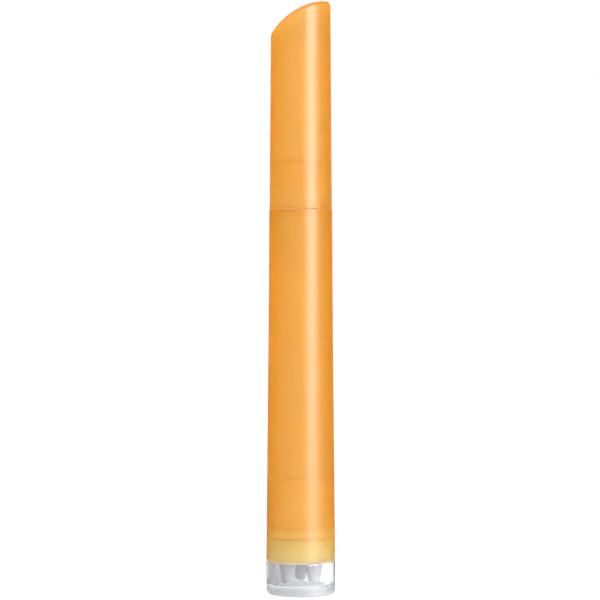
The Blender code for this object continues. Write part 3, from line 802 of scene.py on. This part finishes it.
turn = directions(SHELL_COLUMNS)
inner_edge, roof_radius = soft_edge(turn, UPPER_WALL, CROWN_SKIN, ROOF_ROUND, ARC_STEPS)
outer_edge, crown_radius = soft_edge(turn, 0, 0, CROWN_EDGE, 2 * ARC_STEPS)
rim_corners = [
    (cap_radius(PLAIN_HEIGHT) - UPPER_WALL, PLAIN_HEIGHT, 0),
    (cap_radius(LEDGE_HEIGHT) - UPPER_WALL, LEDGE_HEIGHT, 0),
    (cap_radius(LEDGE_HEIGHT) - CAP_WALL, LEDGE_HEIGHT, 0),
    (CAP_RIM_RADIUS - CAP_WALL, RIM_BASE, EDGE),
    (CAP_RIM_RADIUS, RIM_BASE, EDGE),
    (cap_radius(PLAIN_HEIGHT), PLAIN_HEIGHT, 0),
]
rim = filled_in(outline(rim_corners), False)
rings = crown_rings(turn, roof_radius, CROWN_SKIN, ROOF_RINGS)[::-1] + inner_edge[::-1]
rings += list(round_rings(rim, SHELL_COLUMNS)) + outer_edge
rings += crown_rings(turn, crown_radius, 0, CROWN_RINGS)
poles = np.array([(0, 0, slant_height(0, CROWN_SKIN)), (0, 0, slant_height(0, 0))])
cap_points, cap_faces = skin_over(np.stack(rings), poles)
cap = add_piece("cap_tube", cap_points + (0, 0, SEAT), cap_faces, cap_finish,
                "cap", "frosted_orange_cap")
stand_for(cap, "cap_shell")

# %% [markdown]
# ## Clear plastic, and the tail cap
#
# The foot is moulded from clear, hard plastic and polished. It has a thick floor with a small
# hollow under it, a gate dome inside where the plastic ran in, and a spigot with a low snap
# ring. Its finish is the orange one's glass, but smooth and almost without dye. Fine
# scratches run over it, and the lowest two millimetres are scuffed matt from standing on
# tables. The spigot is etched and milky, so that it hides what lies behind it.

# %% Clear plastic
FLOW_STRETCH = (220.0, 220.0, 700.0)
HAIR_STRETCH = (2400.0, 500.0, 1500.0)
FLOW_DEPTH, HAIR_DEPTH = 0.00002, 0.000004
SCUFF_HEIGHTS, SCUFF_BLOBS, SCUFF_ROUGHNESS = (1.6, 2.6), 2500.0, 0.8
CLEAR_TINTS = rgba(0.975, 0.978, 0.99), rgba(0.985, 0.987, 0.995)
CLEAR_DYE, CLEAR_DENSITY = (0.86, 0.9, 0.93, 1.0), 40.0
ETCHED_TINT, ETCHED_SHARE = rgba(0.98, 0.98, 0.97), 0.88


def clear_plastic(name):
    """Polished clear plastic with a cool tint and hair scratches. The bottom of the foot is
    scuffed, and all that rises above the foot is etched and milky."""
    material, shader, place = finish(name, rgba(0.975, 0.98, 0.985), 0.05)
    set_plain(shader, IOR=1.53, Transmission_Weight=1.0)
    height = place.parts()[2] * (1 / MM)
    flow_lines = place.stretched(FLOW_STRETCH).noise(1.0, 2.0)
    scratches = place.stretched(HAIR_STRETCH).noise(1.0, 3.0).between(0.68, 0.76)
    scuffed = height.between(*SCUFF_HEIGHTS, 1.0, 0.0) * place.noise(SCUFF_BLOBS)
    roughness = 0.06 + scratches * 0.1 + scuffed * SCUFF_ROUGHNESS
    normal = flow_lines.bump(0.06, FLOW_DEPTH)
    feed(shader, Base_Color=flow_lines.blend(*CLEAR_TINTS), Roughness=roughness,
         Normal=(scratches * -1.0).bump(0.15, HAIR_DEPTH, normal))
    dye(place, CLEAR_DYE, CLEAR_DENSITY)
    etched = height.between(FOOT_HEIGHT - LINE_FADE, FOOT_HEIGHT + LINE_FADE)
    mix_in(place, shader, etched * ETCHED_SHARE, "ShaderNodeBsdfDiffuse", ETCHED_TINT)
    return material


clear_finish = clear_plastic("clear_tail_plastic")
print("clear plastic:", len(clear_finish.node_tree.nodes), "nodes")

# %% Tail cap
DOME_RADIUS, DOME_HEIGHT, DOME_STEPS = 1.2, 0.7, 10
HOLLOW_RADIUS, HOLLOW_DEPTH = 2.0, 0.5
FOOT_ROUND, CUP_ROUND = 1.0, 0.3
BEAD_OUT, BEAD_HALF, BEAD_SHARE = 0.05, 0.3, 0.75
bead = FOOT_HEIGHT + SPIGOT_LENGTH * BEAD_SHARE
foot_corners = [
    (0, HOLLOW_DEPTH, 0),
    (HOLLOW_RADIUS - EDGE, HOLLOW_DEPTH, EDGE),
    (HOLLOW_RADIUS, 0, EDGE),
    (FOOT_RADIUS, 0, FOOT_ROUND),
    (FOOT_RADIUS, FOOT_HEIGHT, EDGE),
    (SPIGOT_RADIUS, FOOT_HEIGHT, 0),
    (SPIGOT_RADIUS, bead - BEAD_HALF, 0),
    (SPIGOT_RADIUS + BEAD_OUT, bead, BEAD_HALF),
    (SPIGOT_RADIUS, bead + BEAD_HALF, 0),
    (SPIGOT_RADIUS, SPIGOT_TOP, EDGE),
    (SPIGOT_RADIUS - SPIGOT_WALL, SPIGOT_TOP, EDGE),
    (SPIGOT_RADIUS - SPIGOT_WALL, FOOT_FLOOR, CUP_ROUND),
]
rise = np.linspace(0, math.pi / 2, DOME_STEPS + 1)
dome = np.stack([DOME_RADIUS * np.cos(rise), FOOT_FLOOR + DOME_HEIGHT * np.sin(rise)], -1)
dome[-1, 0] = 0
foot_corners += [(radius, height, 0) for radius, height in dome.tolist()]
tail_cap = turned_piece("clear_tail_cap", foot_corners, 0, clear_finish, "tail", "clear_plastic")
stand_for(tail_cap, "tail_cap")

# %% [markdown]
# ## Felt nibs
#
# A nib is a rod of pressed felt, ground to a taper and cut off at a slant. Its fibres run
# along it, so both its surface and its colour vary in fine lines that run the same way. The
# fibres could be a pattern only, but their ridges show at the edge of so small a part, so
# the radius of each column gets a fine waver, always inwards.

# %% Felt
FIBRE_BLOBS = 5200.0
FIBRE_STRETCH = (FIBRE_BLOBS, FIBRE_BLOBS, 320.0)
FELT_DEPTH = 0.00003


def felt(name, colour, darker):
    """Pressed fibre: fine lines along Z, small pores and a soft sheen."""
    material, shader, place = finish(name, colour, 0.85)
    set_plain(shader, Specular_IOR_Level=0.3, Sheen_Weight=0.1, Sheen_Roughness=0.5)
    fibres = place.stretched(FIBRE_STRETCH).noise(1.0, 3.0, 0.6)
    pores = place.noise(FIBRE_BLOBS, 2.0).between(0.58, 0.7)
    shade = fibres.between(0.3, 0.62, 1.0, 0.0) * 0.55 + pores * 0.4
    feed(shader, Base_Color=shade.blend(colour, darker),
         Roughness=0.78 + fibres * 0.16,
         Normal=(fibres - pores * 0.5).bump(0.7, FELT_DEPTH))
    return material


white_felt = felt("white_felt", rgba(0.86, 0.86, 0.855), rgba(0.77, 0.77, 0.765))
print("felt:", len(white_felt.node_tree.nodes), "nodes")

# %% Nibs
RIDGE_DEPTH, RIDGE_INSET, RIDGES_START = 0.018, 0.6, 0.05
RIDGE_WAVES, RIDGE_COUNTS, RIDGE_SEED = 6, (9, 31), 7
RIM_ROUND, SIDE_ROUND = 0.14, 0.3
RIM_WEIGHT, RIM_STEPS = 0.8, 4


def cut_height(x):
    """Height of the slanted cut over x: the longest side's, less the slope's fall to x."""
    return NIB_LENGTH + (x - NIB_POINT_RADIUS) * NIB_SLOPE


def nib_shape():
    """A nib from its rear end at 0 up to its chisel point, longest towards +X.

    The radius falls by the taper's slope k towards the point. The cut is the plane
    height = length + (x - point radius) * slope, and a side line with x = radius * cos
    meets it at (length + (cos * (R + k * start) - point radius) * slope) divided by
    (1 + k * slope * cos).

    One fault is known. outline() rounds the side's last corner as if the side turned back
    there, so it ends in a neck at half the nib's length, and the rings above follow the
    taper's line carried on downwards, up to 0.7 mm outside the solid. One more corner at the
    taper's end would mend it. It is out of sight unless the nib is pulled out.
    """
    turn = directions(NIB_COLUMNS)
    start = NIB_LENGTH - NIB_TAPER
    fall = (NIB_RADIUS - NIB_POINT_RADIUS) / NIB_TAPER
    across = np.cos(turn)
    cut = cut_height(across * (NIB_RADIUS + fall * start)) / (1 + fall * NIB_SLOPE * across)
    rng = np.random.default_rng(RIDGE_SEED)
    waves = rng.integers(*RIDGE_COUNTS, RIDGE_WAVES)[:, None]
    phases = rng.uniform(0, math.tau, RIDGE_WAVES)[:, None]
    ridges = RIDGE_DEPTH * (np.sin(waves * turn + phases).mean(0) - RIDGE_INSET)
    corners = [(0, 0, 0), (NIB_RADIUS, 0, SIDE_ROUND), (NIB_RADIUS, start, SIDE_ROUND)]
    side = outline(corners)[1:]
    rings = [spokes(turn, radius + ridges * (height > RIDGES_START), height)
             for radius, height in side]
    rim_radius = NIB_RADIUS - fall * (cut - start)
    top = side[-1, 1]
    for share in (0.2, 0.4, 0.6, 0.8):
        height = top + (cut - RIM_ROUND - top) * share
        radius = NIB_RADIUS - fall * (height - start)
        rings.append(spokes(turn, radius + ridges, height))
    low = np.stack([rim_radius + fall * RIM_ROUND + ridges, cut - RIM_ROUND])
    inner = rim_radius - RIM_ROUND
    end = np.stack([inner, cut_height(inner * across)])
    edge = arc(low, np.stack([rim_radius + ridges, cut]), end, RIM_WEIGHT, RIM_STEPS)
    rings += [spokes(turn, *point) for point in edge]
    for share in (0.75, 0.5, 0.25):
        rings.append(spokes(turn, inner * share, cut_height(inner * share * across)))
    return skin_over(np.stack(rings), np.array([(0, 0, 0), (0, 0, cut_height(0))]))


def spare_place(direction, height):
    """The point on the axis of the spare nib in this direction, at a height."""
    return (SPARE_NIB_PITCH * math.cos(direction), SPARE_NIB_PITCH * math.sin(direction), height)


def turned_over(points, direction):
    """Points of a nib stood on its point in its place round the axis, long side outwards:
    first half a turn about Y, then a turn about Z by the direction and half a turn."""
    spin = direction + math.pi
    x, y, z = -points[:, 0], points[:, 1], -points[:, 2]
    moved = np.stack([x * math.cos(spin) - y * math.sin(spin),
                      x * math.sin(spin) + y * math.cos(spin), z], axis=-1)
    return moved + spare_place(direction, SPARE_NIB_REAR)


nib_points, nib_faces = nib_shape()
nib = add_piece("working_nib", nib_points + (0, 0, NIB_REAR), nib_faces, white_felt,
                "felt_tip", "felt")
stand_for(nib, "nib")
SPARE_DIRECTIONS = [math.radians(angle) for angle in (90, 210, 330)]
for number, direction in enumerate(SPARE_DIRECTIONS, start=1):
    spare = add_piece(f"spare_felt_nib_{number}", turned_over(nib_points, direction),
                      nib_faces, white_felt, "pen", "felt")
    stand_for(spare, f"spare_nib_{number}")

# %% [markdown]
# ## White moulded plastic: holder, nozzle and liner
#
# The inner pieces are moulded in milky white. They show only when a cap is off, and as the
# pale core behind the orange. How white they are decides how bright the orange glows, since
# the light meets them more than once on its way. The nozzle is a little greyer, because it
# stands in full light when the cap is off, and the liner is warmer, because it tones the cap.
# Fine rings from the turned mould steel run round each piece.

# %% Milky plastic
MILKY_CLOUDS, MILKY_GRAIN = 260.0, 6000.0
DARKER_BY = 0.97
RING_DEPTH = 0.000006


def milky_plastic(name, colour, roughness, ring_rate):
    """Moulded white plastic with a faint cloudiness, and mould rings round its axis: waves of
    the sine of the height in metres times ring_rate."""
    material, shader, place = finish(name, colour, roughness)
    clouds = place.noise(MILKY_CLOUDS, 3.0)
    grain = place.noise(MILKY_GRAIN, 2.0)
    rings = place.parts()[2] * ring_rate
    rings = rings.maths("SINE", rings)
    tone = (clouds * 0.7 + grain * 0.3).between(0.3, 0.7)
    darker = tuple(value * DARKER_BY for value in colour[:3]) + (1.0,)
    feed(shader, Base_Color=tone.blend(darker, colour),
         Roughness=roughness + (clouds - 0.5) * 0.1 + (grain - 0.5) * 0.12,
         Normal=(rings * 0.25 + grain).bump(0.25, RING_DEPTH))
    return material


holder_finish = milky_plastic("holder_white", rgba(0.975, 0.97, 0.955), 0.45, 36000.0)
nozzle_finish = milky_plastic("nozzle_white", rgba(0.94, 0.94, 0.92), 0.46, 52000.0)
liner_finish = milky_plastic("liner_milky", rgba(0.955, 0.905, 0.81), 0.4, 44000.0)
print("milky plastic:", len(holder_finish.node_tree.nodes), "nodes")

# %% Holder of the spare nibs
SOCKET_CHAMFER = 0.2
CUTTER_START = -1.0
DIMPLE_RADIUS, DIMPLE_DEPTH, DIMPLE_SLOPE = 0.7, 0.25, 0.15
HOLDER_RADIUS = barrel_radius(HOLDER_TOP - BARREL_BASE) - BARREL_WALL - CLEARANCE
flange_radius = TAIL_BORE - CLEARANCE
holder_corners = [
    (0, DIMPLE_DEPTH, 0),
    (DIMPLE_RADIUS - DIMPLE_SLOPE, DIMPLE_DEPTH, 0.1),
    (DIMPLE_RADIUS, 0, 0.1),
    (flange_radius, 0, EDGE),
    (flange_radius, FLANGE_HEIGHT, EDGE),
    (HOLDER_RADIUS, FLANGE_HEIGHT, 0.15),
    (HOLDER_RADIUS, HOLDER_TOP - HOLDER_BASE, 0.05),
    (0, HOLDER_TOP - HOLDER_BASE, 0),
]
socket_depth = SPARE_NIB_REAR + CLEARANCE - HOLDER_BASE
socket_corners = [
    (0, CUTTER_START, 0),
    (NIB_HOLE + SOCKET_CHAMFER, CUTTER_START, 0),
    (NIB_HOLE + SOCKET_CHAMFER, 0, 0),
    (NIB_HOLE, SOCKET_CHAMFER, 0),
    (NIB_HOLE, socket_depth, 0.2),
    (0, socket_depth, 0),
]
holder = turned_piece("nib_holder", holder_corners, HOLDER_BASE, holder_finish,
                      "pen", "holder_plastic")
socket_points = filled_in(outline(socket_corners), False)
cutters = []
for direction in SPARE_DIRECTIONS:
    ends = np.array([(0, 0, CUTTER_START), (0, 0, socket_depth)])
    points, faces = skin_over(round_rings(socket_points[1:-1], NIB_COLUMNS), ends)
    cutter = add_piece("socket_cutter", points + spare_place(direction, HOLDER_BASE), faces,
                       holder_finish, "pen", "holder_plastic")
    cut = holder.modifiers.new("socket", "BOOLEAN")
    cut.operation = "DIFFERENCE"
    cut.object = cutter
    cutters.append(cutter)
holder_shape = bpy.data.meshes.new_from_object(
    holder.evaluated_get(bpy.context.evaluated_depsgraph_get()))
holder.modifiers.clear()
holder.data = holder_shape
holder_shape.set_sharp_from_angle(angle=SHARP_ANGLE)
for cutter in cutters:
    bpy.data.objects.remove(cutter)
stand_for(holder, "spare_nib_holder")

# %% [markdown]
# The nozzle plugs the front of the barrel: a skirt that grips the bore, a collar with two
# low snap rings that hold the cap, a sealing band for the liner and a cone round the nib.

# %% Nozzle
SKIRT_LENGTH, SKIRT_WALL = 10.5, 0.6
SKIRT_RADIUS = BARREL_FRONT_RADIUS - BARREL_WALL - CLEARANCE
SKIRT_BORE = SKIRT_RADIUS - SKIRT_WALL
COLLAR_RADIUS = cap_radius(COLLAR_HEIGHT) - CAP_WALL - CLEARANCE
SEAL_TOP = COLLAR_HEIGHT + SEAL_HEIGHT
TIP_RADIUS, CONE_HEIGHT = 2.6, 4.4
NOZZLE_TIP = SEAL_TOP + CONE_HEIGHT
SNAP, SNAP_HALF, SNAP_HEIGHTS = 0.07, 0.3, (1.5, 2.7)
groove_radius = COLLAR_RADIUS - SNAP
nozzle_corners = [
    (SKIRT_BORE, -SKIRT_LENGTH, EDGE),
    (SKIRT_RADIUS, -SKIRT_LENGTH, EDGE),
    (SKIRT_RADIUS, 0, 0),
    (groove_radius, 0, EDGE),
]
for middle in SNAP_HEIGHTS:
    nozzle_corners += [(groove_radius, middle - SNAP_HALF, 0),
                       (COLLAR_RADIUS, middle, SNAP_HALF),
                       (groove_radius, middle + SNAP_HALF, 0)]
nozzle_corners += [
    (groove_radius, COLLAR_HEIGHT, 0.08),
    (SEAL_RADIUS, COLLAR_HEIGHT, 0.15),
    (SEAL_RADIUS, SEAL_TOP, 0.8),
    (TIP_RADIUS, NOZZLE_TIP, EDGE),
    (NIB_HOLE, NOZZLE_TIP, EDGE),
    (NIB_HOLE, -WEB, EDGE),
    (SKIRT_BORE, -WEB, 0.2),
]
nozzle = turned_piece("nozzle_plug", nozzle_corners, SEAT, nozzle_finish,
                      "pen", "nozzle_plastic")
stand_for(nozzle, "nozzle")

# %% [markdown]
# The liner is the cup inside the cap that keeps the nib moist. A band fits the cap's bore,
# and a narrower cup closes over the nib. Its bore is wider at the lip, to slide over the
# nozzle's sealing band.

# %% Liner
LIP_GAP, ROOF_GAP, CUP_WALL, STEP = 0.06, 0.4, 0.7, 0.7
LIP = COLLAR_HEIGHT + LIP_GAP
SEAL_BORE = SEAL_RADIUS + CLEARANCE
CUP_BORE = SEAL_BORE - STEP
CUP_RADIUS = CUP_BORE + CUP_WALL
STEP_HEIGHT = 4.0
band_radius = cap_radius(LEDGE_HEIGHT) - CAP_WALL - CLEARANCE
band_top = LEDGE_HEIGHT - SEAT_GAP - LIP
roof = float(slant_height(-CUP_RADIUS, CROWN_WALL)) - ROOF_GAP - LIP
liner_corners = [
    (0, roof - CUP_WALL, 0),
    (CUP_BORE, roof - CUP_WALL, 0.8),
    (CUP_BORE, STEP_HEIGHT + STEP, 0.15),
    (SEAL_BORE, STEP_HEIGHT, 0.15),
    (SEAL_BORE, 0, EDGE),
    (band_radius, 0, 0.05),
    (band_radius, band_top, EDGE),
    (CUP_RADIUS, band_top, 0.2),
    (CUP_RADIUS, roof, 0.8),
    (0, roof, 0),
]
liner = turned_piece("cap_sealing_cup", liner_corners, SEAT + LIP, liner_finish,
                     "cap", "liner_plastic")
stand_for(liner, "cap_liner")

# %% [markdown]
# ## The reservoir
#
# Inside the barrel lies a rod of bundled fibre full of oil, in a sleeve of thin film. Behind
# the orange wall the two read as one pale core. The fibre uses the felt's finish with warmer
# colours, and the film is a thin closed sleeve of milky plastic.

# %% Fibre rod
FILM_RADIUS = SKIRT_BORE - CLEARANCE
FILM_WALL, FILM_GAP = 0.12, 0.05
FIBRE_RADIUS = FILM_RADIUS - FILM_WALL - FILM_GAP
oiled_fibre = felt("oiled_fibre", rgba(0.95, 0.86, 0.66), rgba(0.88, 0.75, 0.52))
fibre_length = FIBRE_TOP - FIBRE_BASE
fibre_corners = [
    (0, 0, 0),
    (FIBRE_RADIUS, 0, EDGE),
    (FIBRE_RADIUS, fibre_length, EDGE),
    (NIB_HOLE, fibre_length, 0),
    (NIB_HOLE, fibre_length - FIBRE_HOLE, 0),
    (0, fibre_length - FIBRE_HOLE, 0),
]
fibre = turned_piece("fibre_rod", fibre_corners, FIBRE_BASE, oiled_fibre,
                     "pen", "soaked_fibre", CORE_COLUMNS)
stand_for(fibre, "reservoir_fibre")

# %% Film sleeve
CREASE_STRETCH = (900.0, 900.0, 60.0)
CREASE_DEPTH = 0.00002


def milky_film(name):
    """Thin milky film with fine creases that run along it."""
    material, shader, place = finish(name, rgba(0.975, 0.97, 0.95), 0.3)
    set_plain(shader, IOR=1.45)
    creases = place.stretched(CREASE_STRETCH).noise(1.0, 2.0)
    feed(shader, Base_Color=creases.blend(rgba(0.965, 0.96, 0.94), rgba(0.98, 0.975, 0.955)),
         Roughness=0.24 + creases * 0.12, Normal=creases.bump(0.3, CREASE_DEPTH))
    return material


film_length = fibre_length - FILM_GAP * 2
film_corners = [
    (FILM_RADIUS - FILM_WALL, 0, 0),
    (FILM_RADIUS, 0, 0),
    (FILM_RADIUS, film_length, 0),
    (FILM_RADIUS - FILM_WALL, film_length, 0),
]
film = turned_piece("film_sleeve", film_corners, FIBRE_BASE + FILM_GAP,
                    milky_film("milky_film"), "pen", "film", CORE_COLUMNS)
stand_for(film, "reservoir_film")
